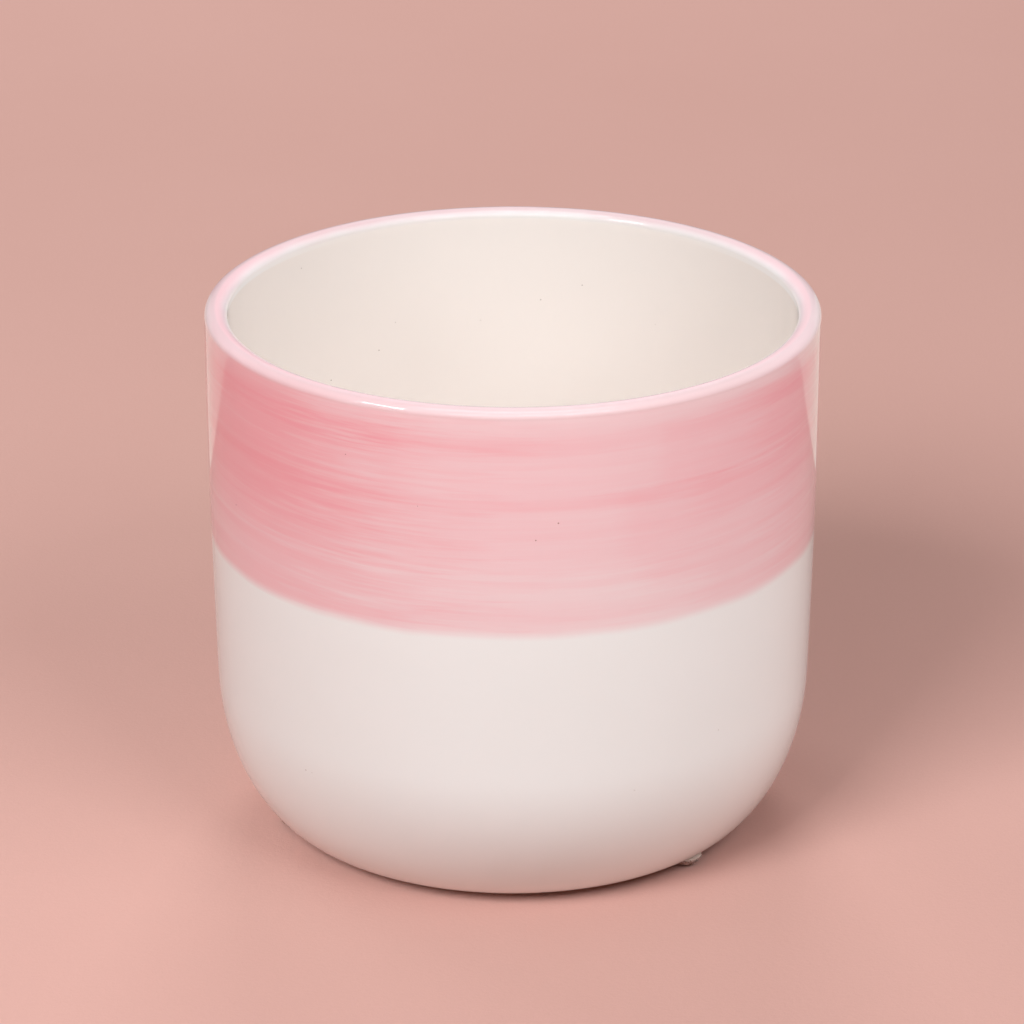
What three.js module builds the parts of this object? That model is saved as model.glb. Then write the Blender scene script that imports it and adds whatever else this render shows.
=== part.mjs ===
// Round ceramic plant pot: a slip-cast shell with a full belly and a rounded lip, a coloured glaze band
// round its upper part and over the lip, and small clear bumpers stuck under its flat base.
//
// Millimetres, +Z up. The origin is on the table, under the middle of the pot.

import * as THREE from 'three';

// Driving dimensions of the ceramic shell

const potHeight = 122.0; // from the flat base to the top of the lip
const rimRadius = 70.0; // outside of the wall, just under the lip
const wallTaper = 0.85; // the wall is narrower by this where it meets the belly
const wallBow = 0.33; // how far the wall swells past a straight line, at its middle
const bellyHeight = 34.1; // from the base to where the belly runs into the wall
const baseInset = 13.5; // the flat base stands in from the bottom of the wall by this
const bellyFullness = 0.725; // length of the belly curve's upright pull, as a part of its height
const baseEdgePull = 1.0; // pull along the base, which rounds its edge
const wallThickness = 5.2;
const floorThickness = 6.0;
const lipRise = 1.8; // height of the rounded lip above the wall

// Driving dimensions of the coloured glaze band

const bandHeight = 53.6; // from its lower edge to the top of the lip
const bandReachInside = 1.4; // how far it runs down the inside of the wall, under the lip
const glazeThickness = 0.4;
const glazeClearance = 0.3; // from the glaze to the ceramic behind it, between its two seated edges

// Driving dimensions of the bumpers

const padCount = 3;
const padRadius = 4.0;
const padHeight = 2.3; // with the pot's weight on it
const padFlattening = 0.15; // how far that weight presses the foot of the dome flat
const padInset = 2.25; // from the edge of the flat base in to a bumper's middle
const firstPadAngle = THREE.MathUtils.degToRad( 48 ); // from the front, -Y, towards +X
const adhesiveRadius = 3.7;
const adhesiveThickness = 0.2;

// How finely the curves are divided

const potSides = 80;
const padSides = 24;
const bellySteps = 9;
const wallSteps = 4;
const lipSteps = 8;
const domeSteps = 6;

// Heights above the table

const baseLevel = padHeight + adhesiveThickness;
const wallFoot = baseLevel + bellyHeight;
const wallTop = baseLevel + potHeight - lipRise;
const floorLevel = baseLevel + floorThickness;
const bandEdge = baseLevel + potHeight - bandHeight;
const bandInnerEdge = wallTop - bandReachInside;

// Finishes

const whiteGlaze = new THREE.MeshStandardMaterial( { color: 0xf1e8e3, roughness: 0.18, metalness: 0 } );
const pinkGlaze = new THREE.MeshStandardMaterial( { color: 0xecaeb4, roughness: 0.18, metalness: 0 } );
const clearRubber = new THREE.MeshStandardMaterial( { color: 0xd9d2cc, roughness: 0.35, metalness: 0 } );
const adhesiveFilm = new THREE.MeshStandardMaterial( { color: 0xe6e2dc, roughness: 0.6, metalness: 0 } );

// The outside of the wall. Outline points are (radius, height).

function wallRadius( level ) {

	const rise = ( level - wallFoot ) / ( wallTop - wallFoot );
	const straight = rimRadius - wallTaper * ( 1 - rise );
	return straight + 4 * wallBow * rise * ( 1 - rise );

}

// A stretch that follows the wall at a fixed offset from its outside, which is negative inwards

function wallStretch( fromLevel, toLevel, offset, steps = wallSteps ) {

	return Array.from( { length: steps + 1 }, ( _, step ) => {

		const level = THREE.MathUtils.lerp( fromLevel, toLevel, step / steps );
		return new THREE.Vector2( wallRadius( level ) + offset, level );

	} );

}

// The belly, from the edge of a flat floor up to the foot of the wall

function bellyCurve( flatRadius, flatLevel, flatPull, offset ) {

	const sideRadius = wallRadius( wallFoot ) + offset;
	const uprightPull = bellyFullness * ( wallFoot - flatLevel );
	const lean = wallRadius( wallFoot + uprightPull ) - wallRadius( wallFoot );
	return new THREE.CubicBezierCurve(
		new THREE.Vector2( flatRadius, flatLevel ),
		new THREE.Vector2( flatRadius + flatPull, flatLevel ),
		new THREE.Vector2( sideRadius - lean, wallFoot - uprightPull ),
		new THREE.Vector2( sideRadius, wallFoot )
	).getPoints( bellySteps );

}

// The rounded lip, from the outside over the top to the inside, sunk by an inset into the ceramic

function lipArc( inset ) {

	const middle = rimRadius - wallThickness / 2;
	const halfWidth = wallThickness / 2 - inset;
	return new THREE.EllipseCurve( middle, wallTop, halfWidth, lipRise - inset, 0, Math.PI ).getPoints( lipSteps );

}

// The ceramic shell, from the middle of its base round the lip to the middle of its inner floor. Where
// the glaze band lies on it, it is set back, with a ledge under each edge of the band.

function shellOutline() {

	const setBack = glazeThickness + glazeClearance;
	const baseRadius = wallRadius( wallFoot ) - baseInset;
	return [
		new THREE.Vector2( 0, baseLevel ),
		...bellyCurve( baseRadius, baseLevel, baseEdgePull, 0 ),
		...wallStretch( wallFoot, bandEdge, 0 ).slice( 1 ),
		...wallStretch( bandEdge, wallTop, - setBack ),
		...lipArc( setBack ).slice( 1, - 1 ),
		...wallStretch( wallTop, bandInnerEdge, setBack - wallThickness, 1 ),
		...wallStretch( bandInnerEdge, wallFoot, - wallThickness ),
		...bellyCurve( baseRadius - wallThickness, floorLevel, baseInset / 2, - wallThickness ).reverse().slice( 1 ),
		new THREE.Vector2( 0, floorLevel )
	];

}

// The glaze band closes on itself: up the outside, over the lip, and back close to the ceramic

function bandOutline() {

	return [
		...wallStretch( bandEdge, wallTop, 0 ),
		...lipArc( 0 ).slice( 1, - 1 ),
		...wallStretch( wallTop, bandInnerEdge, - wallThickness, 1 ),
		...wallStretch( bandInnerEdge, wallTop, glazeThickness - wallThickness, 1 ),
		...lipArc( glazeThickness ).reverse().slice( 1, - 1 ),
		...wallStretch( wallTop, bandEdge, - glazeThickness ),
		new THREE.Vector2( wallRadius( bandEdge ), bandEdge )
	];

}

// A bumper: part of a ball, pressed flat at its foot, with its wide flat side up

function domeOutline() {

	const fullHeight = padHeight + padFlattening;
	const ballRadius = ( padRadius ** 2 + fullHeight ** 2 ) / ( 2 * fullHeight );
	const ballLevel = ballRadius - padFlattening;
	const footAngle = Math.acos( ballLevel / ballRadius );
	const edgeAngle = Math.acos( ( ballLevel - padHeight ) / ballRadius );
	const arc = Array.from( { length: domeSteps + 1 }, ( _, step ) => {

		const angle = THREE.MathUtils.lerp( footAngle, edgeAngle, step / domeSteps );
		return new THREE.Vector2( ballRadius * Math.sin( angle ), ballLevel - ballRadius * Math.cos( angle ) );

	} );
	return [ new THREE.Vector2( 0, 0 ), ...arc, new THREE.Vector2( 0, padHeight ) ];

}

function filmOutline() {

	return [
		new THREE.Vector2( 0, padHeight ),
		new THREE.Vector2( adhesiveRadius, padHeight ),
		new THREE.Vector2( adhesiveRadius, baseLevel ),
		new THREE.Vector2( 0, baseLevel )
	];

}

// A solid turned from its outline about an upright axis

function turned( name, outline, sides, material ) {

	const geometry = new THREE.LatheGeometry( outline, sides );
	geometry.rotateX( Math.PI / 2 );
	const mesh = new THREE.Mesh( geometry, material );
	mesh.name = name;
	return mesh;

}

// One bumper with its adhesive film, at its place under the edge of the base

function bumper( number ) {

	const circleRadius = wallRadius( wallFoot ) - baseInset - padInset;
	const angle = firstPadAngle + ( number - 1 ) * 2 * Math.PI / padCount;
	const group = new THREE.Group();
	group.position.set( circleRadius * Math.sin( angle ), - circleRadius * Math.cos( angle ), 0 );
	group.add( turned( `foot_pad_${ number }`, domeOutline(), padSides, clearRubber ) );
	group.add( turned( `foot_pad_${ number }_adhesive`, filmOutline(), padSides, adhesiveFilm ) );
	return group;

}

const plantPot = new THREE.Group();
plantPot.add( turned( 'pot_body', shellOutline(), potSides, whiteGlaze ) );
plantPot.add( turned( 'pink_glaze_band', bandOutline(), potSides, pinkGlaze ) );
for ( let number = 1; number <= padCount; number ++ ) plantPot.add( bumper( number ) );

export default plantPot;
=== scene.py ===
"""A round ceramic plant pot: white glaze, a brushed pink band round its upper part, clear bumpers below.

Everything is turned about the pot's upright axis from outlines in (radius, level). Lengths are metres in
the CAD frame: +Z is up, the table is at level 0 and the front of the pot faces -Y. Inside the materials,
levels, radii and sizes are millimetres. Azimuths are degrees from the front towards +X.
"""

import logging
import math
import random
from collections.abc import Iterator, Sequence
from dataclasses import dataclass
from enum import Enum
from functools import reduce
from typing import Any

import bmesh
import bpy
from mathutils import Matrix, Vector


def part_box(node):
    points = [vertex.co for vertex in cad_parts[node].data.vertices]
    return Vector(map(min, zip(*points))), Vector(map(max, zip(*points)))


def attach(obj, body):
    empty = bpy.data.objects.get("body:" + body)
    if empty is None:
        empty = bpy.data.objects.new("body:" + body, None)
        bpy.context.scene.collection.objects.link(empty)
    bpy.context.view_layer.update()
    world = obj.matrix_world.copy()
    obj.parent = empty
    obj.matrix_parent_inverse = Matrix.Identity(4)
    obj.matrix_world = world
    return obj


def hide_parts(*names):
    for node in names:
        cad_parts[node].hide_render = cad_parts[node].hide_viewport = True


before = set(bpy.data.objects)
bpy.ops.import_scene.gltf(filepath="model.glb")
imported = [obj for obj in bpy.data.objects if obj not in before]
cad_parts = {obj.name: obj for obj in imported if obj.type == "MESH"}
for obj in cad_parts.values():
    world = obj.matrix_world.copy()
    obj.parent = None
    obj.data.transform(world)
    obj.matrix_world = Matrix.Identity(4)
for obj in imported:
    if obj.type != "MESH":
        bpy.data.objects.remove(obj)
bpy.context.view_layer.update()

MM = 0.001
POT_TURNS = 240
BUMPER_TURNS = 96
FLOOR_TURNS = 96
WELD_DISTANCE = 0.001 * MM
SHARP_ANGLE = math.radians(32)

Point = tuple[float, float]
Span = tuple[float, float]
Place = tuple[float, float, float]
Colour = tuple[float, float, float, float]
Socket = bpy.types.NodeSocket
Input = float | Sequence[float] | Socket

log = logging.getLogger("plant_pot")


def linear(hex_colour: int) -> Colour:
    """Turns a display colour into the linear colour that a shader takes.

    Args:
        hex_colour: The colour as 0xRRGGBB.

    Returns:
        Red, green, blue and an alpha of 1.
    """
    channels = [(hex_colour >> shift & 0xFF) / 255 for shift in (16, 8, 0)]
    straight = [c / 12.92 if c <= 0.04045 else ((c + 0.055) / 1.055) ** 2.4 for c in channels]
    return (straight[0], straight[1], straight[2], 1.0)


def blend_points(start: float, end: float, steps: int) -> Iterator[float]:
    """Yields values from start to end, both included, in the given number of equal steps."""
    for step in range(steps + 1):
        yield start + (end - start) * step / steps


# Outlines of the pot


@dataclass(frozen=True)
class PotProfile:
    """The pot's outline in radius and level, fitted to the boxes of the CAD nodes."""

    base_level: float
    top_level: float
    widest_radius: float
    band_edge: float
    wall_taper: float = 0.85 * MM
    wall_bow: float = 0.33 * MM
    belly_height: float = 34.1 * MM
    base_inset: float = 13.5 * MM
    belly_fullness: float = 0.725
    base_edge_pull: float = 1.0 * MM
    wall_thickness: float = 5.2 * MM
    floor_thickness: float = 6.0 * MM
    lip_rise: float = 1.8 * MM
    band_reach_inside: float = 1.4 * MM
    belly_steps: int = 44
    lip_steps: int = 32
    ring_spacing: float = 1.6 * MM

    @classmethod
    def from_frame(cls) -> "PotProfile":
        """Reads the pot's levels and its widest radius from the CAD boxes."""
        shell_low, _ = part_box("pot_body")
        band_low, band_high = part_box("pink_glaze_band")
        return cls(shell_low.z, band_high.z, band_high.x, band_low.z)

    @property
    def rim_radius(self) -> float:
        """Radius of the wall just under the lip, a hair less than at its widest."""
        bow = 4 * self.wall_bow
        swell = (bow + self.wall_taper) ** 2 / (4 * bow) - self.wall_taper
        return self.widest_radius - swell

    @property
    def wall_foot(self) -> float:
        """Level at which the belly runs into the wall."""
        return self.base_level + self.belly_height

    @property
    def wall_top(self) -> float:
        """Level at which the wall runs into the rounded lip."""
        return self.top_level - self.lip_rise

    @property
    def band_inner_edge(self) -> float:
        """Level of the band's edge on the inside of the wall."""
        return self.wall_top - self.band_reach_inside

    @property
    def floor_level(self) -> float:
        """Level of the floor inside the pot."""
        return self.base_level + self.floor_thickness

    @property
    def base_radius(self) -> float:
        """Radius of the flat base."""
        return self.wall_radius(self.wall_foot) - self.base_inset

    def wall_radius(self, level: float) -> float:
        """Gives the outside radius of the wall at a level."""
        rise = (level - self.wall_foot) / (self.wall_top - self.wall_foot)
        return self.rim_radius - self.wall_taper * (1 - rise) + 4 * self.wall_bow * rise * (1 - rise)

    def wall_stretch(self, start: float, end: float, offset: float = 0.0) -> list[Point]:
        """Follows the wall from one level to another, at an offset from its outside, negative inwards."""
        steps = max(1, round(abs(end - start) / self.ring_spacing))
        return [(self.wall_radius(level) + offset, level) for level in blend_points(start, end, steps)]

    def belly_curve(
        self, flat_radius: float, flat_level: float, flat_pull: float, offset: float
    ) -> list[Point]:
        """Follows the belly from the edge of a flat floor up to the foot of the wall.

        Args:
            flat_radius: Radius of the flat floor that the curve leaves.
            flat_level: Level of that floor.
            flat_pull: How far the curve is pulled along the floor before it rises.
            offset: Distance from the outside of the wall, negative inwards.

        Returns:
            Points of one cubic Bezier curve, both ends included.
        """
        side_radius = self.wall_radius(self.wall_foot) + offset
        upright_pull = self.belly_fullness * (self.wall_foot - flat_level)
        lean = self.wall_radius(self.wall_foot + upright_pull) - self.wall_radius(self.wall_foot)
        handles = (
            Vector((flat_radius, flat_level)),
            Vector((flat_radius + flat_pull, flat_level)),
            Vector((side_radius - lean, self.wall_foot - upright_pull)),
            Vector((side_radius, self.wall_foot)),
        )
        points = []
        for part in blend_points(0.0, 1.0, self.belly_steps):
            rest = 1 - part
            weights = (rest**3, 3 * rest**2 * part, 3 * rest * part**2, part**3)
            place = sum((handle * weight for handle, weight in zip(handles, weights)), Vector((0.0, 0.0)))
            points.append((place.x, place.y))
        return points

    def lip_arc(self, inset: float = 0.0) -> list[Point]:
        """Follows the rounded lip from the outside of the wall over the top to the inside.

        Args:
            inset: How deep under the surface of the lip the arc runs.

        Returns:
            Points of half an ellipse, both ends included.
        """
        middle = self.rim_radius - self.wall_thickness / 2
        half_width = self.wall_thickness / 2 - inset
        rise = self.lip_rise - inset
        return [
            (middle + half_width * math.cos(turn), self.wall_top + rise * math.sin(turn))
            for turn in blend_points(0.0, math.pi, self.lip_steps)
        ]

    def on_wall(self, azimuth: float, level: float, offset: float = 0.0) -> Vector:
        """Finds a point on the pot's side.

        Args:
            azimuth: Its direction from the axis.
            level: Height above the table.
            offset: Distance from the outside of the wall, negative inwards.

        Returns:
            The point.
        """
        if level >= self.wall_foot:
            radius = self.wall_radius(level)
        else:
            belly = self.belly_curve(self.base_radius, self.base_level, self.base_edge_pull, 0.0)
            radius = min(belly, key=lambda point: abs(point[1] - level))[0]
        turn = math.radians(azimuth)
        return Vector(((radius + offset) * math.sin(turn), -(radius + offset) * math.cos(turn), level))


def turned_piece(
    name: str, outline: Sequence[Point], turns: int, centre: Point = (0.0, 0.0)
) -> bpy.types.Object:
    """Turns an outline about an upright axis into one closed piece, smooth but for its sharp corners.

    Args:
        name: Name of the piece and its mesh.
        outline: Points in (radius, level). It starts and ends on the axis, or closes on itself.
        turns: How many facets go round.
        centre: Where the axis stands on the table, in x and y.

    Returns:
        The piece, linked to the scene at the origin, with its place in its mesh.
    """
    closed = outline[0] == outline[-1]
    work = bmesh.new()
    points = outline[:-1] if closed else outline
    corners = [work.verts.new((radius, 0.0, level)) for radius, level in points]
    followers = corners[1:] + corners[:1] if closed else corners[1:]
    edges = [work.edges.new(pair) for pair in zip(corners, followers)]
    about_axis = {"cent": (0, 0, 0), "axis": (0, 0, 1), "dvec": (0, 0, 0), "angle": math.tau}
    bmesh.ops.spin(work, geom=corners + edges, steps=turns, use_merge=True, use_duplicate=False, **about_axis)
    bmesh.ops.remove_doubles(work, verts=work.verts, dist=WELD_DISTANCE)
    bmesh.ops.dissolve_degenerate(work, edges=work.edges, dist=WELD_DISTANCE)
    bmesh.ops.recalc_face_normals(work, faces=work.faces)
    bmesh.ops.translate(work, verts=work.verts, vec=(*centre, 0.0))
    for face in work.faces:
        face.smooth = True
    for edge in work.edges:
        edge.smooth = edge.calc_face_angle(0.0) < SHARP_ANGLE
    mesh = bpy.data.meshes.new(name)
    work.to_mesh(mesh)
    work.free()
    piece = bpy.data.objects.new(name, mesh)
    bpy.context.scene.collection.objects.link(piece)
    return piece


# Shader nodes


class Wiring:
    """Adds nodes to one node tree and joins them."""

    NOISE_MIDDLE = 0.5

    def __init__(self, tree: bpy.types.NodeTree) -> None:
        """Works on the given tree."""
        self.tree = tree

    def node(self, kind: str, *values: Input, **settings: Any) -> bpy.types.Node:
        """Adds a node.

        Args:
            kind: Its type, without the leading ShaderNode.
            *values: What its first inputs take, in order.
            **settings: Properties to set on it.

        Returns:
            The node.
        """
        made = self.tree.nodes.new(f"ShaderNode{kind}")
        for key, value in settings.items():
            setattr(made, key, value)
        for socket, value in zip(made.inputs, values):
            self.feed(socket, value)
        return made

    def feed(self, socket: Socket, value: Input) -> None:
        """Joins a socket to another, or sets its value.

        Args:
            socket: The input to feed.
            value: An output socket, a number, or a vector or colour.
        """
        if isinstance(value, bpy.types.NodeSocket):
            self.tree.links.new(value, socket)
        else:
            socket.default_value = value

    def here(self) -> Socket:
        """Gives the point that is being shaded, in the object's own frame."""
        return self.node("TexCoord").outputs["Object"]

    def math(self, operation: str, *values: Input) -> Socket:
        """Gives the result of a Math node with an operation such as POWER."""
        return self.node("Math", *values, operation=operation).outputs[0]

    def vector(self, operation: str, *values: Input) -> bpy.types.Node:
        """Adds a Vector Math node with an operation such as DISTANCE."""
        return self.node("VectorMath", *values, operation=operation)

    def scaled(self, value: Input, factor: Input, *added: Input) -> Socket:
        """Multiplies a value by a factor, and adds another value if one is given."""
        return self.math("MULTIPLY_ADD" if added else "MULTIPLY", value, factor, *added)

    def product(self, *values: Input) -> Socket:
        """Multiplies all the values."""
        return reduce(self.scaled, values)

    def less(self, value: Input, taken: Input) -> Socket:
        """Subtracts the second value from the first."""
        return self.math("SUBTRACT", value, taken)

    def centred(self, noise: Input) -> Socket:
        """Shifts a noise so that it varies about 0."""
        return self.less(noise, self.NOISE_MIDDLE)

    def ease(self, value: Input, start: Input, end: Input) -> Socket:
        """Rises smoothly from 0 to 1 from start to end, of which either may be the lower."""
        return self.node("MapRange", value, start, end, 0.0, 1.0, interpolation_type="SMOOTHSTEP").outputs[0]

    def mix(self, amount: Input, first: Input, second: Input, blend: str = "MIX") -> Socket:
        """Mixes two colours.

        Args:
            amount: How much of the second is taken.
            first: The first colour.
            second: The second colour.
            blend: The blend mode.

        Returns:
            The mixed colour.
        """
        made = self.node("Mix", amount, data_type="RGBA", blend_type=blend)
        self.feed(made.inputs[6], first)
        self.feed(made.inputs[7], second)
        return made.outputs[2]

    def between(self, amount: Input, first: Input, second: Input) -> Socket:
        """Mixes two numbers.

        Args:
            amount: How much of the second is taken.
            first: The first number.
            second: The second number.

        Returns:
            The number between them.
        """
        made = self.node("Mix", amount, data_type="FLOAT")
        self.feed(made.inputs[2], first)
        self.feed(made.inputs[3], second)
        return made.outputs[0]

    def noise(
        self, scale: float, detail: float = 2.0, rough: float = 0.5, place: Input | None = None
    ) -> Socket:
        """Adds a three-dimensional noise.

        Args:
            scale: How many lumps there are in a metre.
            detail: How many finer layers it has.
            rough: How strong the finer layers are.
            place: The coordinates that it reads, if not the object's own.

        Returns:
            A value about 0.5.
        """
        read = self.here() if place is None else place
        made = self.node("TexNoise", read, noise_dimensions="3D")
        for name, value in (("Scale", scale), ("Detail", detail), ("Roughness", rough)):
            self.feed(made.inputs[name], value)
        return made.outputs[0]

    def effect(self, group: bpy.types.NodeTree, **inputs: Input) -> dict[str, Socket]:
        """Places a node group.

        Args:
            group: The shared effect.
            **inputs: Its values, each under the name of its input in lower case.

        Returns:
            Its outputs by name.
        """
        made = self.node("Group", node_tree=group)
        for key, value in inputs.items():
            self.feed(made.inputs[key.capitalize()], value)
        return dict(made.outputs.items())


class SocketKind(Enum):
    """The kinds of socket that a shared effect has."""

    NUMBER = "NodeSocketFloat"
    VECTOR = "NodeSocketVector"
    COLOUR = "NodeSocketColor"


def numbers(*names: str) -> dict[str, SocketKind]:
    """Says that each of the named sockets takes or gives a number."""
    return dict.fromkeys(names, SocketKind.NUMBER)


class SharedEffect:
    """A shader node group with named inputs and outputs, built once and used in several finishes."""

    def __init__(self, name: str, inputs: dict[str, SocketKind], outputs: dict[str, SocketKind]) -> None:
        """Makes the empty group.

        Args:
            name: Its name.
            inputs: What its inputs are, by name.
            outputs: What its outputs are, by name.
        """
        self.group = bpy.data.node_groups.new(name, "ShaderNodeTree")
        for way, sockets in (("INPUT", inputs), ("OUTPUT", outputs)):
            for socket, kind in sockets.items():
                self.group.interface.new_socket(name=socket, in_out=way, socket_type=kind.value)
        self.wire = Wiring(self.group)
        source = self.group.nodes.new("NodeGroupInput")
        self.given = {socket: source.outputs[socket] for socket in inputs}

    def giving(self, **results: Socket) -> bpy.types.NodeTree:
        """Joins the results to the group's outputs.

        Args:
            **results: The results, each under the name of its output in lower case.

        Returns:
            The finished group.
        """
        target = self.group.nodes.new("NodeGroupOutput")
        for key, value in results.items():
            self.wire.feed(target.inputs[key.capitalize()], value)
        return self.group


class GlazeEffects:
    """The node groups that the finishes share, and the numbers that shape them."""

    FACES_AXIS = (-0.2, -0.9)
    FACES_UP = (0.05, 0.3)
    UNDER_RIM = (0.6, 2.4)
    FLOOR_BELOW = 60.0
    CLIMB_SPAN = 100.0
    HOLE_GRAIN = 2600.0
    HOLE_UNEVEN = (0.9, 0.55)
    HOLE_CORE = 0.45
    SPECK_VARIES = (0.7, 0.4)
    SPECK_CORE = 0.4
    LONG_WAVES = 42.0
    FINER_WAVES = ((190.0, 0.1), (900.0, 0.008))
    GLOSS_PATCHES = 60.0
    GLOSS_VARIES = 0.05

    def __init__(self, profile: PotProfile) -> None:
        """Builds every group for the pot with this profile."""
        self.profile = profile
        self.place = self._place()
        self.inner_side = self._inner_side()
        self.streaks = self._streaks()
        self.stroke = self._stroke()
        self.tint = self._tint()
        self.pinhole = self._pinhole()
        self.specks = self._specks()
        self.glaze_skin = self._glaze_skin()

    def _place(self) -> bpy.types.NodeTree:
        """Builds the group that tells where on the pot a point lies."""
        effect = SharedEffect("Place on pot", {}, numbers("Azimuth", "Level", "Radius"))
        wire = effect.wire
        axes = wire.node("SeparateXYZ", wire.here()).outputs
        turn = wire.math("ARCTAN2", axes["X"], wire.scaled(axes["Y"], -1.0))
        across = wire.node("CombineXYZ", axes["X"], axes["Y"])
        radius = wire.vector("LENGTH", across.outputs[0]).outputs["Value"]
        return effect.giving(
            azimuth=wire.math("DEGREES", turn),
            level=wire.math("DIVIDE", axes["Z"], MM),
            radius=wire.math("DIVIDE", radius, MM),
        )

    def _inner_side(self) -> bpy.types.NodeTree:
        """Builds the group that masks the inside of the pot: faces that look at its axis, and its floor,
        where the white glaze takes painted interreflected light.
        """
        effect = SharedEffect("Inner side", {}, numbers("Mask"))
        wire = effect.wire
        facing = wire.node("NewGeometry").outputs["Normal"]
        outwards = wire.vector("MULTIPLY", wire.here(), (1.0, 1.0, 0.0))
        radial = wire.vector("NORMALIZE", outwards.outputs[0])
        turned_out = wire.vector("DOT_PRODUCT", facing, radial.outputs[0]).outputs["Value"]
        upwards = wire.ease(wire.node("SeparateXYZ", facing).outputs["Z"], *self.FACES_UP)
        level = wire.effect(self.place)["Level"]
        low_down = wire.math("LESS_THAN", level, self.FLOOR_BELOW)
        under_lip = wire.ease(level, *(self.profile.top_level / MM - depth for depth in self.UNDER_RIM))
        inwards = wire.scaled(wire.ease(turned_out, *self.FACES_AXIS), under_lip)
        return effect.giving(mask=wire.math("MAXIMUM", inwards, wire.scaled(upwards, low_down)))

    def _streaks(self) -> bpy.types.NodeTree:
        """Builds the group that draws out noise along the turning brush, without a seam."""
        effect = SharedEffect("Brush streaks", numbers("Length", "Thickness", "Tilt"), numbers("Streaks"))
        wire, given = effect.wire, effect.given
        axes = wire.node("SeparateXYZ", wire.here()).outputs
        leaning = wire.scaled(axes["X"], given["Tilt"], axes["Z"])
        along, across = (wire.math("DIVIDE", 1.0 / MM, given[size]) for size in ("Length", "Thickness"))
        pairs = ((axes["X"], along), (axes["Y"], along), (leaning, across))
        place = wire.node("CombineXYZ", *(wire.scaled(*pair) for pair in pairs))
        return effect.giving(streaks=wire.noise(1.0, 3.0, 0.6, place.outputs[0]))

    def _stroke(self) -> bpy.types.NodeTree:
        """Builds the group that masks one stroke of the brush round the pot."""
        point = ("Around", "Height", "Ragged")
        shape = ("Azimuth", "Reach", "Level", "Breadth", "Climb", "Softness", "Fade")
        effect = SharedEffect("Brush stroke", numbers(*point, *shape), numbers("Mask"))
        wire, given = effect.wire, effect.given
        aside = wire.math("WRAP", wire.less(given["Around"], given["Azimuth"]), -180.0, 180.0)
        middle = wire.scaled(wire.math("DIVIDE", aside, self.CLIMB_SPAN), given["Climb"], given["Level"])
        distances = (wire.less(given["Height"], middle), aside)
        sides = []
        for distance, limit, soft in zip(distances, ("Breadth", "Reach"), ("Softness", "Fade")):
            ragged = wire.scaled(given["Ragged"], given[soft], wire.math("ABSOLUTE", distance))
            half = wire.scaled(given[soft], 0.5)
            limits = (wire.math("ADD", given[limit], half), wire.less(given[limit], half))
            sides.append(wire.ease(ragged, *limits))
        return effect.giving(mask=wire.product(*sides))

    def _tint(self) -> bpy.types.NodeTree:
        """Builds the group that lays a clear colour over a ground, deeper where it is thicker."""
        colour = SocketKind.COLOUR
        inputs = {"Ground": colour, "Tint": colour, "Thickness": SocketKind.NUMBER}
        effect = SharedEffect("Clear tint", inputs, {"Colour": colour})
        wire, given = effect.wire, effect.given
        parts = wire.node("SeparateColor", given["Tint"]).outputs[:3]
        passed = wire.node("CombineColor", *(wire.math("POWER", part, given["Thickness"]) for part in parts))
        return effect.giving(colour=wire.mix(1.0, given["Ground"], passed.outputs[0], "MULTIPLY"))

    def _pinhole(self) -> bpy.types.NodeTree:
        """Builds the group that masks one pinhole in the glaze."""
        inputs = {"Centre": SocketKind.VECTOR, "Size": SocketKind.NUMBER}
        effect = SharedEffect("Pinhole", inputs, numbers("Mask"))
        wire, given = effect.wire, effect.given
        distance = wire.vector("DISTANCE", wire.here(), given["Centre"]).outputs["Value"]
        uneven = wire.scaled(wire.noise(self.HOLE_GRAIN), *self.HOLE_UNEVEN)
        reach = wire.product(given["Size"], MM, uneven)
        return effect.giving(mask=wire.ease(distance, reach, wire.scaled(reach, self.HOLE_CORE)))

    def _specks(self) -> bpy.types.NodeTree:
        """Builds the group that scatters tiny specks, one to a cell, in only a few of the cells."""
        effect = SharedEffect("Scattered specks", numbers("Spacing", "Share", "Size"), numbers("Mask"))
        wire, given = effect.wire, effect.given
        cells = wire.node("TexVoronoi", wire.here(), voronoi_dimensions="3D", feature="F1")
        wire.feed(cells.inputs["Scale"], wire.math("DIVIDE", 1.0 / MM, given["Spacing"]))
        lot = wire.node("SeparateColor", cells.outputs["Color"]).outputs
        chosen = wire.math("LESS_THAN", lot[0], given["Share"])
        reach = wire.math("DIVIDE", given["Size"], given["Spacing"])
        reach = wire.scaled(reach, wire.scaled(lot[1], *self.SPECK_VARIES))
        spot = wire.ease(cells.outputs["Distance"], reach, wire.scaled(reach, self.SPECK_CORE))
        return effect.giving(mask=wire.scaled(spot, chosen))

    def _glaze_skin(self) -> bpy.types.NodeTree:
        """Builds the group for the fired surface: long flow waves, a fine orange peel and uneven gloss."""
        effect = SharedEffect("Glaze skin", numbers("Gloss"), numbers("Height", "Roughness"))
        wire = effect.wire
        height = wire.noise(self.LONG_WAVES, 1.0)
        for scale, share in self.FINER_WAVES:
            height = wire.scaled(wire.noise(scale, 1.0), share, height)
        smear = wire.centred(wire.noise(self.GLOSS_PATCHES, 3.0))
        roughness = wire.scaled(smear, self.GLOSS_VARIES, effect.given["Gloss"])
        return effect.giving(height=height, roughness=roughness)


# Finishes


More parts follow.
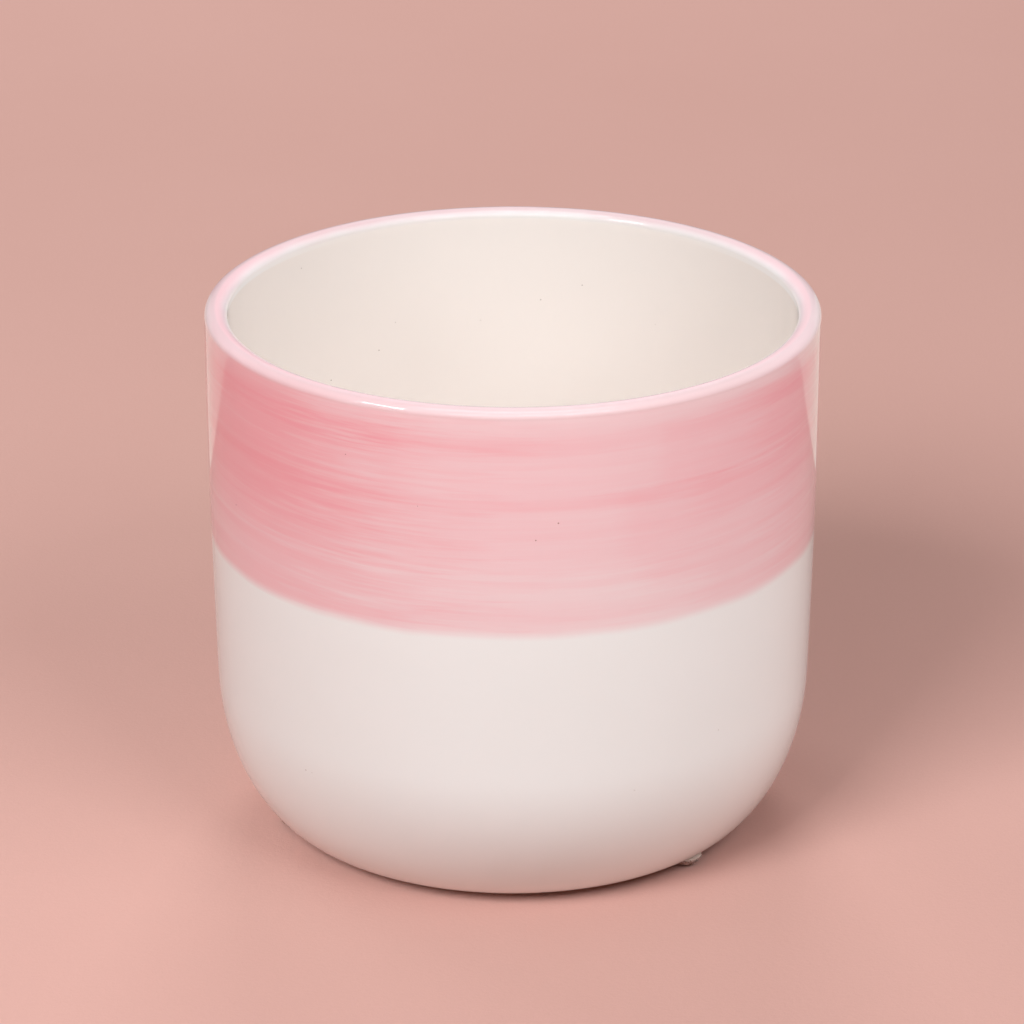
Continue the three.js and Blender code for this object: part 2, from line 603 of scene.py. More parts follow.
@dataclass(frozen=True)
class Finish:
    """What every finish has: its own name, and a material with one shader."""

    name: str

    def start(self) -> tuple[bpy.types.Material, Wiring, bpy.types.Node]:
        """Makes the material with an output and a Principled shader.

        Returns:
            The material, a wiring for its nodes and the shader.
        """
        material = bpy.data.materials.new(self.name)
        material.use_nodes = True
        material.node_tree.nodes.clear()
        wire = Wiring(material.node_tree)
        shader = wire.node("BsdfPrincipled")
        wire.node("OutputMaterial", shader.outputs[0])
        return material, wire, shader

    def coat_with(
        self,
        wire: Wiring,
        shader: bpy.types.Node,
        colour: Input,
        roughness: Input,
        height: Socket,
        depth: float,
    ) -> None:
        """Gives the shader its colour, its roughness and a relief.

        Args:
            wire: The material's wiring.
            shader: The shader.
            colour: The colour of the surface.
            roughness: Its roughness.
            height: What stands out of the surface, from 0 to 1.
            depth: What a height of 1 is, in metres.
        """
        bump = wire.node("Bump")
        for name, value in (("Strength", 1.0), ("Distance", depth), ("Height", height)):
            wire.feed(bump.inputs[name], value)
        for name, value in (("Base Color", colour), ("Roughness", roughness), ("Normal", bump.outputs[0])):
            wire.feed(shader.inputs[name], value)


@dataclass(frozen=True)
class Pinhole:
    """One pinhole in the glaze: its place on the pot's side and its size."""

    azimuth: float
    level: float
    size: float
    inside: bool = False


# Pinholes of the front, left to right, and of the far side of the inside

PINHOLES = (
    Pinhole(-62.0, 88.0, 0.17),
    Pinhole(-42.5, 31.0, 0.20),
    Pinhole(-31.0, 111.0, 0.16),
    Pinhole(-17.0, 101.8, 0.13),
    Pinhole(4.0, 95.0, 0.22),
    Pinhole(8.0, 98.8, 0.24),
    Pinhole(23.0, 32.2, 0.15),
    Pinhole(41.5, 41.5, 0.14),
    Pinhole(148.0, 98.8, 0.10, inside=True),
    Pinhole(165.0, 106.2, 0.20, inside=True),
    Pinhole(174.0, 101.8, 0.20, inside=True),
    Pinhole(187.0, 96.5, 0.14, inside=True),
    Pinhole(206.0, 98.2, 0.13, inside=True),
    Pinhole(210.0, 91.8, 0.20, inside=True),
    Pinhole(222.5, 87.2, 0.22, inside=True),
    Pinhole(230.5, 118.0, 0.18, inside=True),
)


@dataclass(frozen=True)
class WhiteGlaze(Finish):
    """Glossy white glaze over a pale body, bare on the flat base."""

    effects: GlazeEffects
    profile: PotProfile
    colour: Colour = (0.834, 0.838, 0.814, 1.0)
    thin_colour: Colour = (0.814, 0.817, 0.788, 1.0)
    # A warmer, brighter copy of the white for the inside: painted interreflected light on the same glaze
    inner_colour: Colour = (0.893, 0.785, 0.729, 1.0)
    bisque_colour: Colour = linear(0xDCCFC0)
    grit_colour: Colour = linear(0xC2B3A2)
    hole_colour: Colour = linear(0x8A6A58)
    gloss: float = 0.07
    clouds_show: float = 0.5
    holes_show: float = 0.75
    grit_shows: float = 0.5
    wave_depth: float = 0.03 * MM
    hole_depth: float = 0.6
    glazed_to: float = 54.2
    wiped_edge: Span = (0.75, 0.45)
    wiped_waver: float = 1.2
    base_margin: float = 0.05
    bisque_roughness: Span = (0.15, 0.72)
    bisque_height: Span = (0.9, -2.4)
    pinholes: tuple[Pinhole, ...] = PINHOLES

    def ground(self, wire: Wiring) -> tuple[Socket, Socket, Socket]:
        """Builds the white glaze itself, as the band shows it through its colour too.

        Args:
            wire: The wiring of the material that takes it.

        Returns:
            Its colour, its height and its roughness.
        """
        clouds = wire.ease(wire.noise(26.0, 3.0), 0.35, 0.75)
        colour = wire.mix(wire.scaled(clouds, self.clouds_show), self.colour, self.thin_colour)
        # Painted interreflected light: the inside takes the warmer copy of the white
        colour = wire.mix(wire.effect(self.effects.inner_side)["Mask"], colour, self.inner_colour)
        skin = wire.effect(self.effects.glaze_skin, gloss=self.gloss)
        holes = wire.effect(self.effects.specks, spacing=9.0, share=0.05, size=0.34)["Mask"]
        for pinhole in self.pinholes:
            offset = -self.profile.wall_thickness if pinhole.inside else 0.0
            centre = self.profile.on_wall(pinhole.azimuth, pinhole.level * MM, offset)
            spot = wire.effect(self.effects.pinhole, centre=centre, size=pinhole.size)
            holes = wire.math("MAXIMUM", holes, spot["Mask"])
        colour = wire.mix(wire.scaled(holes, self.holes_show), colour, self.hole_colour)
        return colour, wire.scaled(holes, -self.hole_depth, skin["Height"]), skin["Roughness"]

    def build(self) -> bpy.types.Material:
        """Builds the material of the shell."""
        material, wire, shader = self.start()
        colour, height, roughness = self.ground(wire)
        place = wire.effect(self.effects.place)
        ragged = wire.scaled(wire.noise(220.0, 3.0), self.wiped_waver, place["Radius"])
        wiped = wire.ease(ragged, *(self.glazed_to + past for past in self.wiped_edge))
        under = wire.math("LESS_THAN", place["Level"], self.profile.base_level / MM + self.base_margin)
        bare = wire.scaled(wiped, under)
        grit = wire.noise(1500.0, 4.0, 0.7)
        bisque = wire.mix(wire.scaled(grit, self.grit_shows), self.bisque_colour, self.grit_colour)
        colour = wire.mix(bare, colour, bisque)
        roughness = wire.between(bare, roughness, wire.scaled(grit, *self.bisque_roughness))
        height = wire.scaled(bare, wire.scaled(grit, *self.bisque_height), height)
        self.coat_with(wire, shader, colour, roughness, height, self.wave_depth)
        return material


@dataclass(frozen=True)
class BrushStroke:
    """One stroke of the brush: where it lies, how wide it is and how much colour it adds.

    Its reach is half of its length in degrees, its breadth is half of its width, and it climbs by so many
    millimetres over 100 degrees.
    """

    azimuth: float
    reach: float
    level: float
    breadth: float
    colour: float
    climb: float = 0.0
    softness: float = 1.6
    fade: float = 8.0

    def shape(self) -> dict[str, float]:
        """Gives all but the stroke's colour, by name."""
        return {name: value for name, value in vars(self).items() if name != "colour"}


# Turns of the brush all round the pot, from the top of the band down

TURNS = (
    BrushStroke(0, 180, 111.0, 16.5, 0.07, softness=6.0),
    BrushStroke(0, 180, 107.0, 20.5, 0.17, softness=3.0),
    BrushStroke(0, 180, 116.6, 1.7, 0.13, softness=2.6),
    BrushStroke(0, 180, 102.9, 1.5, 0.15, softness=1.8),
    BrushStroke(0, 180, 84.2, 0.9, 0.12, softness=1.4),
    BrushStroke(0, 180, 77.0, 1.4, 0.08, softness=2.0),
)

# The strokes that show from the front

FRONT_STROKES = (
    BrushStroke(-80, 56, 97.0, 30.0, 0.44, fade=56),
    BrushStroke(-76, 38, 108.0, 15.0, 0.20, softness=6.0, fade=26),
    BrushStroke(-58, 34, 116.6, 2.6, 0.10, softness=2.4, fade=24),
    BrushStroke(-50, 17, 110.2, 0.25, -0.12, climb=-1.2, softness=0.3, fade=14),
    BrushStroke(-60, 26, 84.2, 1.2, 0.06, softness=1.4, fade=24),
    BrushStroke(76, 49, 111.8, 7.6, 0.13, softness=1.6, fade=4.5),
    BrushStroke(76, 56, 96.0, 7.2, 0.12, climb=0.6, softness=2.4, fade=6.0),
    BrushStroke(64, 27, 112.0, 8.5, 0.10, softness=2.4, fade=16),
    BrushStroke(62, 26, 99.4, 4.6, 0.17, softness=2.8, fade=14),
    BrushStroke(76, 50, 84.2, 4.2, 0.14, softness=2.4, fade=10),
    BrushStroke(80, 44, 77.0, 6.0, 0.12, softness=3.0, fade=12),
    BrushStroke(96, 38, 98.0, 30.0, 0.16, fade=24),
    BrushStroke(62, 13, 114.0, 8.0, 0.22, softness=3.0, fade=14),
    BrushStroke(30, 12, 103.0, 2.0, 0.13, softness=2.0, fade=10),
    BrushStroke(-12, 15, 117.0, 2.0, 0.14, softness=2.4, fade=12),
    BrushStroke(-52, 26, 102.0, 13.0, 0.16, softness=6.0, fade=20),
    BrushStroke(-62, 34, 121.0, 4.0, 0.16, softness=3.0, fade=24),
)


def back_strokes(seed: int, count: int) -> tuple[BrushStroke, ...]:
    """Brushes the back of the pot, which shows only from behind, in the manner of the front.

    Args:
        seed: Seed of the random draws.
        count: How many strokes are laid.

    Returns:
        The strokes.
    """
    draw = random.Random(seed)
    strokes = []
    for _ in range(count):
        broad = draw.random() < 0.5
        strokes.append(
            BrushStroke(
                azimuth=draw.uniform(135, 225),
                reach=draw.uniform(16, 38),
                level=draw.uniform(76, 118),
                breadth=draw.uniform(3.0, 7.0) if broad else draw.uniform(0.6, 1.8),
                colour=draw.uniform(0.12, 0.42),
                climb=draw.uniform(-1.0, 1.0),
                softness=draw.uniform(1.2, 3.5),
                fade=draw.choice((1.6, 6.0, 16.0, 26.0)),
            )
        )
    return tuple(strokes)


@dataclass(frozen=True)
class StreakLayer:
    """One layer of brush streaks: how long, thick and tilted they are, and how strongly they show."""

    length: float
    thickness: float
    tilt: float
    strength: float

    def build(self, wire: Wiring, effects: GlazeEffects) -> Socket:
        """Builds the streaks of the layer, which vary about 0."""
        made = wire.effect(effects.streaks, length=self.length, thickness=self.thickness, tilt=self.tilt)
        return wire.centred(made["Streaks"])


@dataclass(frozen=True)
class LipZone:
    """A part of the lip, by the radii and the levels over which it sets in."""

    radii: Span
    levels: Span

    def mask(self, wire: Wiring, place: dict[str, Socket]) -> Socket:
        """Builds the mask of the part from the place on the pot."""
        return wire.scaled(wire.ease(place["Radius"], *self.radii), wire.ease(place["Level"], *self.levels))


@dataclass(frozen=True)
class PinkGlaze(Finish):
    """Clear pink brushed over the white glaze in turning strokes, fading out over the lip."""

    effects: GlazeEffects
    white: WhiteGlaze
    tint: Colour = (0.998, 0.62, 0.662, 1.0)
    first_coat: float = 0.645
    layers: tuple[StreakLayer, ...] = (
        StreakLayer(55.0, 4.2, 0.012, 0.42),
        StreakLayer(34.0, 1.1, -0.008, 0.20),
        StreakLayer(16.0, 0.35, 0.004, 0.10),
    )
    frayed: StreakLayer = StreakLayer(22.0, 1.0, 0.0, 1.6)
    strokes: tuple[BrushStroke, ...] = TURNS + FRONT_STROKES
    relief_depth: float = 0.35
    edge_level: float = 72.03
    edge_softness: float = 1.7
    edge_sway: float = 0.62
    edge_sways_from: float = 63.0
    edge_waver: float = 1.2
    near_lip: Span = (117.0, 124.0)
    lip_thinning: float = 0.12
    evens_out: Span = (122.2, 123.6)
    thinnest: float = 0.05
    evened_coat: Span = (0.3, 0.45)
    lip_radii: Span = (63.9, 66.9)
    lip_waver: float = 1.4
    inner_half: float = 66.5
    inner_levels: Span = (122.2, 123.8)
    # Painted light on the lip, set by azimuth: painted shade on its shoulders and a painted highlight on its
    # inner edge
    behind: Span = (95.0, 150.0)
    front_of_sides: Span = (72.0, 40.0)
    side_clay: float = 0.12
    outer_shoulder: LipZone = LipZone((67.5, 68.7), (122.2, 123.4))
    inner_shoulder: LipZone = LipZone((67.2, 66.0), (122.6, 123.2))
    inner_edge: LipZone = LipZone((68.0, 67.2), (121.3, 121.9))
    off_middle: Span = (10.0, 45.0)
    middle_pool: float = 0.4
    # Painted highlight: the paler colour laid on the inner edge
    pooled_colour: Colour = (0.93, 0.865, 0.85, 1.0)
    # Painted shade: how strongly, and towards what colour, the lit shoulders are darkened
    clay_showing: float = 0.31
    clay_colour: Colour = (0.50, 0.39, 0.35, 1.0)

    def coat(self, wire: Wiring) -> Socket:
        """Builds the thickness of the colour at each point of the band.

        Args:
            wire: The wiring of the material that takes it.

        Returns:
            The thickness, 1 where the colour lies as it does in the middle of the front.
        """
        coat = self.first_coat
        for layer in self.layers:
            coat = wire.scaled(layer.build(wire, self.effects), layer.strength, coat)
        place = wire.effect(self.effects.place)
        ragged = wire.scaled(self.frayed.build(wire, self.effects), self.frayed.strength)
        around, level = place["Azimuth"], place["Level"]
        point = {"around": around, "height": level, "ragged": ragged}
        for stroke in self.strokes:
            mask = wire.effect(self.effects.stroke, **point, **stroke.shape())
            coat = wire.scaled(mask["Mask"], stroke.colour, coat)
        coat = wire.scaled(coat, wire.scaled(wire.ease(level, *self.near_lip), -self.lip_thinning, 1.0))
        brushed = wire.math("MAXIMUM", coat, self.thinnest)
        return wire.between(wire.ease(level, *self.evens_out), brushed, wire.scaled(coat, *self.evened_coat))

    def extent(self, wire: Wiring) -> Socket:
        """Builds how far the colour reaches: soft at its lower edge, and thinning out over the lip.

        Args:
            wire: The wiring of the material that takes it.

        Returns:
            A factor from 0 to 1.
        """
        place = wire.effect(self.effects.place)
        turn = wire.math("RADIANS", wire.math("ADD", place["Azimuth"], self.edge_sways_from))
        edge = wire.scaled(wire.math("SINE", turn), self.edge_sway, self.edge_level)
        edge = wire.scaled(wire.centred(wire.noise(55.0, 3.0)), self.edge_waver, edge)
        below = wire.ease(wire.less(place["Level"], edge), -self.edge_softness, self.edge_softness)
        in_from_rim = wire.scaled(wire.centred(wire.noise(70.0, 2.0)), self.lip_waver, place["Radius"])
        over_lip = wire.ease(in_from_rim, *self.lip_radii)
        inner_half = wire.math("LESS_THAN", place["Radius"], self.inner_half)
        inner_end = wire.less(1.0, wire.ease(place["Level"], *self.inner_levels))
        return wire.product(below, over_lip, wire.less(1.0, wire.scaled(inner_half, inner_end)))

    def over_edge(self, wire: Wiring, ground: Socket) -> Socket:
        """Paints shade and a highlight on the ground on the lip: painted shade on its outer shoulder at the
        front and on its inner shoulder at the back, where the lamps fall hardest, and a paler painted
        highlight on its inner edge at the front and sides.

        Args:
            wire: The wiring of the material that takes it.
            ground: The colour of the white glaze.

        Returns:
            The ground, darkened by painted shade on the shoulders and paler under the painted highlight on
            the inner edge.
        """
        place = wire.effect(self.effects.place)
        aside = wire.math("ABSOLUTE", place["Azimuth"])
        behind = wire.ease(aside, *self.behind)
        # Painted shade on the outer shoulder, full at the front and weak at the sides; on the inner shoulder
        # only behind
        front_shade = wire.scaled(wire.ease(aside, *self.front_of_sides), 1.0 - self.side_clay, self.side_clay)
        outer = wire.scaled(self.outer_shoulder.mask(wire, place), front_shade)
        inner = wire.scaled(self.inner_shoulder.mask(wire, place), behind)
        # Painted highlight on the inner edge: weaker at the middle of the front, none behind
        inner_edge_highlight = wire.scaled(wire.ease(aside, *self.off_middle), 1.0 - self.middle_pool, self.middle_pool)
        inner_edge_highlight = wire.product(self.inner_edge.mask(wire, place), inner_edge_highlight, wire.less(1.0, behind))
        # Painted shade over both shoulders, laid over the painted highlight
        shoulder_shade = wire.scaled(wire.math("MAXIMUM", outer, inner), self.clay_showing)
        return wire.mix(shoulder_shade, wire.mix(inner_edge_highlight, ground, self.pooled_colour), self.clay_colour)

    def build(self) -> bpy.types.Material:
        """Builds the material of the band."""
        material, wire, shader = self.start()
        ground, height, roughness = self.white.ground(wire)
        ground = self.over_edge(wire, ground)
        thickness = wire.scaled(self.coat(wire), self.extent(wire))
        tinted = wire.effect(self.effects.tint, ground=ground, tint=self.tint, thickness=thickness)
        raised = wire.scaled(thickness, self.relief_depth, height)
        self.coat_with(wire, shader, tinted["Colour"], roughness, raised, self.white.wave_depth)
        return material


@dataclass(frozen=True)
class ClearBumper(Finish):
    """Clear soft polyurethane, a little dusty, with tiny bubbles, tinted pink as painted bounce light from
    the floor.
    """

    effects: GlazeEffects
    # Both colours are tinted pink as painted bounce light from the pink floor; the dust itself is real
    colour: Colour = linear(0xF0CBBD)
    dust_colour: Colour = linear(0xDDB5A6)
    dust_shows: float = 0.5
    bubbles_show: float = 0.6
    roughness: Span = (0.25, 0.22)
    transmission: float = 0.65
    refraction: float = 1.49
    relief_depth: float = 0.02 * MM

    def build(self) -> bpy.types.Material:
        """Builds the material of a bumper."""
        material, wire, shader = self.start()
        dust = wire.ease(wire.noise(700.0, 4.0, 0.7), 0.45, 0.75)
        bubbles = wire.effect(self.effects.specks, spacing=1.3, share=0.3, size=0.16)["Mask"]
        dusty = wire.scaled(dust, self.dust_shows)
        marks = wire.math("MAXIMUM", dusty, wire.scaled(bubbles, self.bubbles_show))
        colour = wire.mix(marks, self.colour, self.dust_colour)
        shader.inputs["Transmission Weight"].default_value = self.transmission
        shader.inputs["IOR"].default_value = self.refraction
        roughness = wire.scaled(dust, *self.roughness)
        self.coat_with(wire, shader, colour, roughness, wire.noise(900.0, 3.0), self.relief_depth)
        return material


@dataclass(frozen=True)
class AdhesiveFilm(Finish):
    """Milky film of adhesive with small trapped bubbles."""

    effects: GlazeEffects
    colour: Colour = linear(0xE3CFC4)
    cloud_colour: Colour = linear(0xD0BBAE)
    bubble_colour: Colour = linear(0xF6F3EF)
    clouds_show: float = 0.4
    roughness: Span = (0.3, 0.4)
    relief_depth: float = 0.03 * MM

    def build(self) -> bpy.types.Material:
        """Builds the material of an adhesive film."""
        material, wire, shader = self.start()
        clouds = wire.noise(500.0, 3.0, 0.6)
        bubbles = wire.effect(self.effects.specks, spacing=0.9, share=0.5, size=0.3)["Mask"]
        tone = wire.mix(wire.scaled(clouds, self.clouds_show), self.colour, self.cloud_colour)
        colour = wire.mix(bubbles, tone, self.bubble_colour)
        height = wire.math("ADD", clouds, bubbles)
        self.coat_with(wire, shader, colour, wire.scaled(clouds, *self.roughness), height, self.relief_depth)
        return material


@dataclass(frozen=True)
class PaperFloor(Finish):
    """Matt, dusty pink paper with a fine tooth."""

    colour: Colour = (0.594, 0.328, 0.282, 1.0)
    shade: Colour = (0.562, 0.3027, 0.2555, 1.0)
    fleck: float = 0.7
    roughness: float = 0.85
    specular: float = 0.25
    tooth_depth: float = 0.08 * MM

    def build(self) -> bpy.types.Material:
        """Builds the material of the studio floor."""
        material, wire, shader = self.start()
        tooth = wire.noise(900.0, 4.0, 0.7)
        fleck = wire.scaled(wire.centred(tooth), self.fleck, wire.noise(5.0, 3.0))
        colour = wire.mix(fleck, self.colour, self.shade)
        shader.inputs["Specular IOR Level"].default_value = self.specular
        self.coat_with(wire, shader, colour, self.roughness, tooth, self.tooth_depth)
        return material


# The pieces of the pot


@dataclass
class CeramicShell:
    """The cast shell, set back under the band, so that band and wall run on in one surface."""

    profile: PotProfile
    set_back: float = 0.45 * MM
    base_rings: tuple[float, ...] = (0.3, 0.6, 0.85, 0.96)
    floor_rings: tuple[float, ...] = (0.9, 0.6, 0.3)

    def outline(self) -> list[Point]:
        """Draws the shell from the middle of its base round the lip to the middle of its inner floor.

        Returns:
            The outline.
        """
        pot = self.profile
        wall = pot.wall_thickness
        outside = pot.belly_curve(pot.base_radius, pot.base_level, pot.base_edge_pull, 0.0)
        inside = pot.belly_curve(pot.base_radius - wall, pot.floor_level, pot.base_inset / 2, -wall)
        under_band = pot.wall_stretch(pot.band_edge, pot.wall_top, -self.set_back)
        inner_ledge = pot.wall_stretch(pot.wall_top, pot.band_inner_edge, self.set_back - wall)
        return [
            (0.0, pot.base_level),
            *((pot.base_radius * part, pot.base_level) for part in self.base_rings),
            *outside,
            *pot.wall_stretch(pot.wall_foot, pot.band_edge)[1:],
            *under_band,
            *pot.lip_arc(self.set_back)[1:-1],
            *inner_ledge,
            *pot.wall_stretch(pot.band_inner_edge, pot.wall_foot, -wall),
            *inside[::-1][1:],
            *(((pot.base_radius - wall) * part, pot.floor_level) for part in self.floor_rings),
            (0.0, pot.floor_level),
        ]

    def build(self, material: bpy.types.Material) -> bpy.types.Object:
        """Turns the shell and dresses it.

        Args:
            material: The white glaze.

        Returns:
            The piece.
        """
        piece = turned_piece("glazed_shell", self.outline(), POT_TURNS)
        piece.data.materials.append(material)
        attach(piece, "root")
        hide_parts("pot_body")
        return piece


@dataclass
class GlazeBand:
    """The coloured coat: up the outside, over the lip and a little way down the inside."""

    profile: PotProfile
    thickness: float = 0.4 * MM

    def outline(self) -> list[Point]:
        """Draws the band round both of its faces.

        Returns:
            The outline, closed on itself.
        """
        pot = self.profile
        wall = pot.wall_thickness
        return [
            *pot.wall_stretch(pot.band_edge, pot.wall_top),
            *pot.lip_arc()[1:-1],
            *pot.wall_stretch(pot.wall_top, pot.band_inner_edge, -wall),
            *pot.wall_stretch(pot.band_inner_edge, pot.wall_top, self.thickness - wall),
            *pot.lip_arc(self.thickness)[::-1][1:-1],
            *pot.wall_stretch(pot.wall_top, pot.band_edge, -self.thickness),
            (pot.wall_radius(pot.band_edge), pot.band_edge),
        ]

    def build(self, material: bpy.types.Material) -> bpy.types.Object:
        """Turns the band and dresses it.

        Args:
            material: The pink glaze.

        Returns:
            The piece.
        """
        piece = turned_piece("brushed_glaze_band", self.outline(), POT_TURNS)
        piece.data.materials.append(material)
        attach(piece, "root")
        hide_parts("pink_glaze_band")
        return piece


@dataclass
class Bumper:
    """One clear domed bumper and the adhesive film that holds it under the base."""

    number: int
    flattening: float = 0.15 * MM
    shoulder: float = 0.25 * MM
    shoulder_from: float = math.pi / 8
    dome_steps: int = 28
    shoulder_steps: int = 4
    film_steps: int = 6

    @property
    def node(self) -> str:
        """Name of the bumper's CAD node."""
        return f"foot_pad_{self.number}"

    def dome_outline(self, radius: float, height: float) -> list[Point]:
        """Draws part of a ball, pressed flat at its foot, with a soft shoulder under its flat back.

        Args:
            radius: Radius of its flat back.
            height: Height from its foot to its back.

        Returns:
            The outline, from axis to axis.
        """
        full_height = height + self.flattening
        ball = (radius**2 + full_height**2) / (2 * full_height)
        centre = ball - self.flattening
        foot_angle = math.acos(centre / ball)
        edge_angle = math.acos((centre - height + self.shoulder) / ball)
        dome = [
            (ball * math.sin(angle), centre - ball * math.cos(angle))
            for angle in blend_points(foot_angle, edge_angle, self.dome_steps)
        ]
        edge = dome[-1][0]
        turn_in = [
            (edge - self.shoulder * (1 - math.cos(turn)), height - self.shoulder * (1 - math.sin(turn)))
            for turn in blend_points(self.shoulder_from, math.pi / 2, self.shoulder_steps)
        ]
        return [(0.0, 0.0), *dome, *turn_in, (0.0, height)]

    def film_outline(self, radius: float, low: float, high: float) -> list[Point]:
        """Draws the film with a rounded edge.

        Args:
            radius: Radius of the film.
            low: Level of its lower face.
            high: Level of its upper face.

        Returns:
            The outline, from axis to axis.
        """
        half = (high - low) / 2
        edge = [
            (radius - half * (1 - math.cos(turn)), (low + high) / 2 + half * math.sin(turn))
            for turn in blend_points(-math.pi / 2, math.pi / 2, self.film_steps)
        ]
        return [(0.0, low), *edge, (0.0, high)]

    def build(self, rubber: bpy.types.Material, film: bpy.types.Material) -> list[bpy.types.Object]:
        """Turns the bumper and its film where their CAD nodes are, and dresses them.

        Args:
            rubber: The clear bumper's finish.
            film: The adhesive's finish.

        Returns:
            The two pieces.
        """
        low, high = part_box(self.node)
        film_low, film_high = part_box(f"{self.node}_adhesive")
        centre = ((low.x + high.x) / 2, (low.y + high.y) / 2)
        outline = self.dome_outline((high.x - low.x) / 2, high.z - low.z)
        dome = turned_piece(f"clear_bumper_{self.number}", outline, BUMPER_TURNS, centre)
        outline = self.film_outline((film_high.x - film_low.x) / 2, film_low.z, film_high.z)
        backing = turned_piece(f"bumper_film_{self.number}", outline, BUMPER_TURNS, centre)
        for piece, node, material, slot in (
            (dome, self.node, rubber, "clear_bumper"),
            (backing, f"{self.node}_adhesive", film, "adhesive_film"),
        ):
            piece.data.materials.append(material)
            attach(piece, "root")
            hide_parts(node)
        return [dome, backing]


# The studio


class Reach(Enum):
    """What the light of a softbox falls on."""

    POT = "lit_pot"
    FLOOR = "lit_floor"
    MIRROR = "mirrored_only"


@dataclass(frozen=True)
class Softbox:
    """A rectangular light that the camera doesn't see, flagged off from what it isn't meant for."""

    name: str
    reach: Reach
    place: Place
    aim: Place
    width: float
    height: float
    brightness: float
    colour: Place = (0.875, 0.964, 1.0)

    @classmethod
    def around(
        cls, reach: Reach, name: str, azimuth: float, rise: float, brightness: float, size: Point = (0.6, 0.5)
    ) -> "Softbox":
        """Places a softbox that looks at the pot from a given direction.

        Args:
            reach: What its light falls on.
            name: Name of the light.
            azimuth: Its direction from the pot.
            rise: Degrees above the table.
            brightness: Radiance of its face.
            size: Its width and height.

        Returns:
            The softbox.
        """
        turn, lift = math.radians(azimuth), math.radians(rise)
        flat = LAMP_DISTANCE * math.cos(lift)
        level = LAMP_DISTANCE * math.sin(lift) + LAMP_CENTRE
        place = (flat * math.sin(turn), -flat * math.cos(turn), level)
        return cls(name, reach, place, POT_MIDDLE, *size, brightness)

    @classmethod
    def card(cls, name: str, aside: float, brightness: float) -> "Softbox":
        """Stands a card so far beside the pot, where only the glaze mirrors it."""
        place, aim = (aside, 0.199, 0.1), (aside, -1.0, 0.1)
        return cls(name, Reach.MIRROR, place, aim, 0.25, 0.2, brightness, (0.6, 1.0, 0.85))

    def build(self, lit: dict[Reach, bpy.types.Collection]) -> bpy.types.Object:
        """Hangs the light in its place.

        Args:
            lit: The objects that each reach falls on.

        Returns:
            The light's object.
        """
        lamp = bpy.data.lights.new(self.name, "AREA")
        lamp.shape = "RECTANGLE"
        lamp.size = self.width
        lamp.size_y = self.height
        lamp.energy = self.brightness * self.width * self.height * math.pi
        lamp.color = self.colour
        light = bpy.data.objects.new(self.name, lamp)
        light.location = self.place
        light.rotation_euler = (Vector(self.aim) - Vector(self.place)).to_track_quat("-Z", "Y").to_euler()
        light.visible_camera = False
        light.visible_diffuse = self.reach is not Reach.MIRROR
        light.visible_glossy = self.reach is Reach.MIRROR
        light.light_linking.receiver_collection = lit[self.reach]
        bpy.context.scene.collection.objects.link(light)
        return light


POT_MIDDLE = (0.0, 0.0, 0.08)
LAMP_DISTANCE = 1.7
LAMP_CENTRE = 0.06

# The softboxes around the pot: name, azimuth, rise, brightness and, where it isn't the usual one, size

LAMPS = {
    Reach.POT: (
        ("pot_top", 30, 66, 13.9),
        ("pot_front_left", -30, 48, 8.54),
        ("pot_left", -55, 48, 8.39),
        ("pot_low_left", -55, 30, 4.25),
        ("pot_right", 55, 48, 8.63),
        ("pot_low_right", 30, 30, 4.6),
        ("pot_right_side", 85, 30, 1.78),
    ),
    Reach.FLOOR: (
        ("floor_key", -34, 38, 16.4, (0.7, 0.7)),
        ("floor_left", -45, 40, 5.9),
        ("floor_front", -20, 30, 3.8),
        ("floor_right", 35, 40, 10.05),
        ("floor_right_side", 60, 48, 4.18),
        ("floor_back", 180, 30, 12.8),
        ("floor_back_left", -140, 30, 4.4),
    ),
    Reach.MIRROR: (
        ("mirrored_front", 10, 57, 22.0, (1.5, 0.08)),
        ("mirrored_top", 180, 79, 14.0, (0.9, 0.08)),
        ("mirrored_left", -64, 54, 60.0, (0.42, 0.08)),
        ("mirrored_low", 0, 21, 8.0, (0.8, 0.06)),
    ),
}

SOFTBOXES = (
    *(Softbox.around(reach, *lamp) for reach, lamps in LAMPS.items() for lamp in lamps),
    Softbox.card("left_card", -0.25, 0.34),
    Softbox.card("right_card", 0.25, 0.42),
)


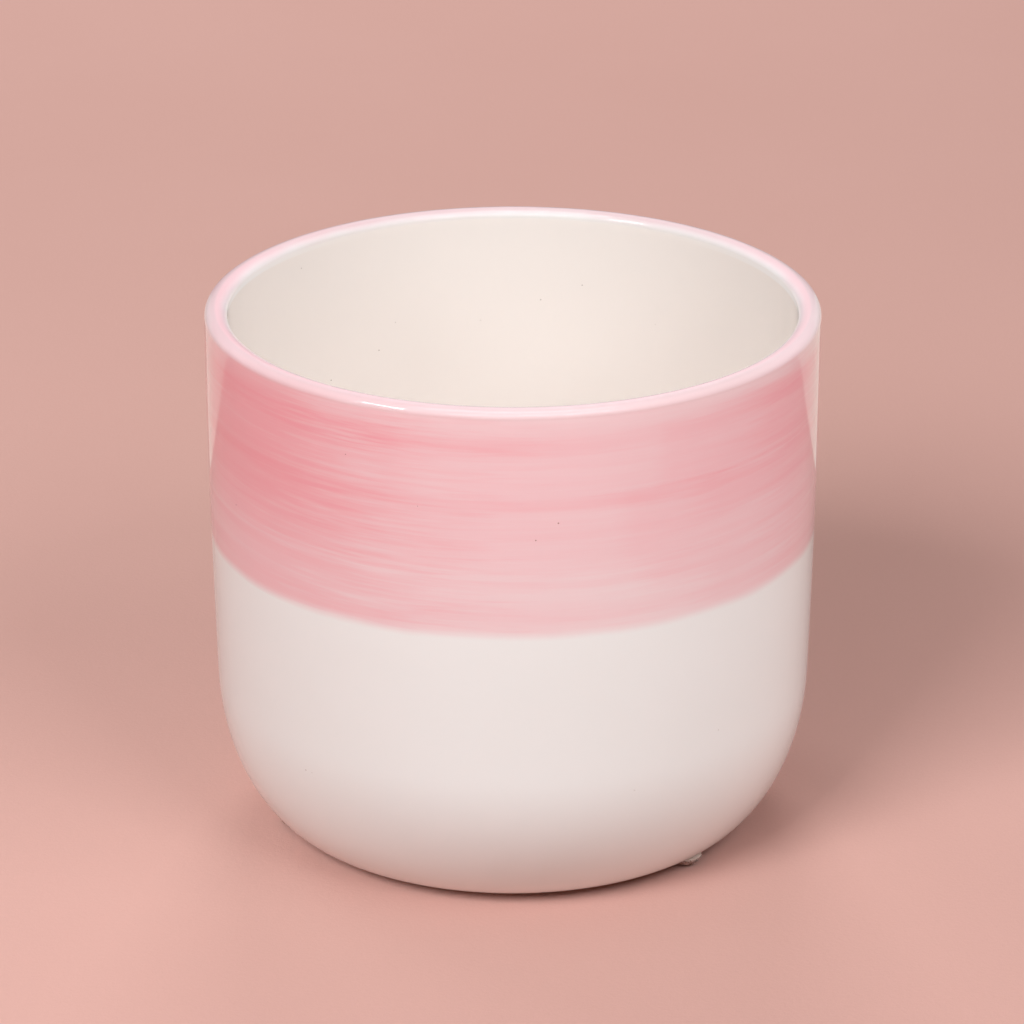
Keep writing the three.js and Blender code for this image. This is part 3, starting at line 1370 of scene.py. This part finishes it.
@dataclass
class Studio:
    """The pale paper floor, the soft lights and the camera."""

    floor_radius: float = 3.2
    floor_rings: tuple[float, ...] = (0.0, 0.05, 0.15, 0.4, 0.7)
    sweep_radius: float = 0.9
    sweep_turn: float = math.pi / 4
    sweep_steps: int = 16
    camera_place: Place = (-0.0002, -0.9133, 0.4513)
    camera_pitch: float = 0.393
    lens: float = 150.0
    sensor: float = 36.0
    sky: Colour = (0.92, 0.83, 0.80, 1.0)
    sky_strength: float = 0.183
    softboxes: tuple[Softbox, ...] = SOFTBOXES

    def floor(self, material: bpy.types.Material) -> bpy.types.Object:
        """Lays the floor, which curves up far behind and around the pot.

        Args:
            material: The floor's finish.

        Returns:
            The floor.
        """
        flat = [(self.floor_radius * part, 0.0) for part in self.floor_rings]
        curve = [
            (self.floor_radius + self.sweep_radius * math.sin(turn), self.sweep_radius * (1 - math.cos(turn)))
            for turn in blend_points(0.0, self.sweep_turn, self.sweep_steps)
        ]
        floor = turned_piece("studio_floor", flat + curve, FLOOR_TURNS)
        floor.data.materials.append(material)
        return floor

    def light(self, pot: Sequence[bpy.types.Object], floor: bpy.types.Object) -> None:
        """Sets the pale surroundings and hangs the lights.

        Args:
            pot: The pieces of the pot.
            floor: The studio floor.
        """
        world = bpy.data.worlds.new("pale_surroundings")
        world.use_nodes = True
        background = world.node_tree.nodes["Background"]
        background.inputs["Color"].default_value = self.sky
        background.inputs["Strength"].default_value = self.sky_strength
        bpy.context.scene.world = world
        lit = {}
        for reach, members in ((Reach.POT, pot), (Reach.FLOOR, [floor]), (Reach.MIRROR, pot)):
            lit[reach] = bpy.data.collections.new(reach.value)
            for member in members:
                lit[reach].objects.link(member)
        for softbox in self.softboxes:
            softbox.build(lit)

    def camera(self) -> bpy.types.Object:
        """Sets up the camera at the photographed angle.

        Returns:
            The camera.
        """
        data = bpy.data.cameras.new("camera")
        data.lens = self.lens
        data.sensor_width = self.sensor
        camera = bpy.data.objects.new("camera", data)
        camera.location = self.camera_place
        camera.rotation_euler = (math.pi / 2 - self.camera_pitch, 0.0, 0.0)
        bpy.context.scene.collection.objects.link(camera)
        bpy.context.scene.camera = camera
        return camera


def main() -> None:
    """Builds the studio and the pot, and logs how many faces each piece has."""
    logging.basicConfig(level=logging.INFO, format="%(name)s: %(message)s")
    bpy.context.scene.view_settings.view_transform = "Standard"
    studio = Studio()
    studio.camera()
    floor = studio.floor(PaperFloor("dusty_pink_paper").build())

    profile = PotProfile.from_frame()
    effects = GlazeEffects(profile)
    white = WhiteGlaze("white_glaze", effects, profile)
    strokes = TURNS + FRONT_STROKES + back_strokes(seed=7, count=10)
    pink = PinkGlaze("pink_glaze", effects, white, strokes=strokes)
    pieces = [
        CeramicShell(profile).build(white.build()),
        GlazeBand(profile).build(pink.build()),
    ]
    rubber = ClearBumper("clear_bumper", effects).build()
    film = AdhesiveFilm("adhesive_film", effects).build()
    for number in range(1, 4):
        pieces += Bumper(number).build(rubber, film)
    studio.light(pieces, floor)
    for piece in pieces:
        log.info("%s: %d faces", piece.name, len(piece.data.polygons))


if __name__ == "__main__":
    main()
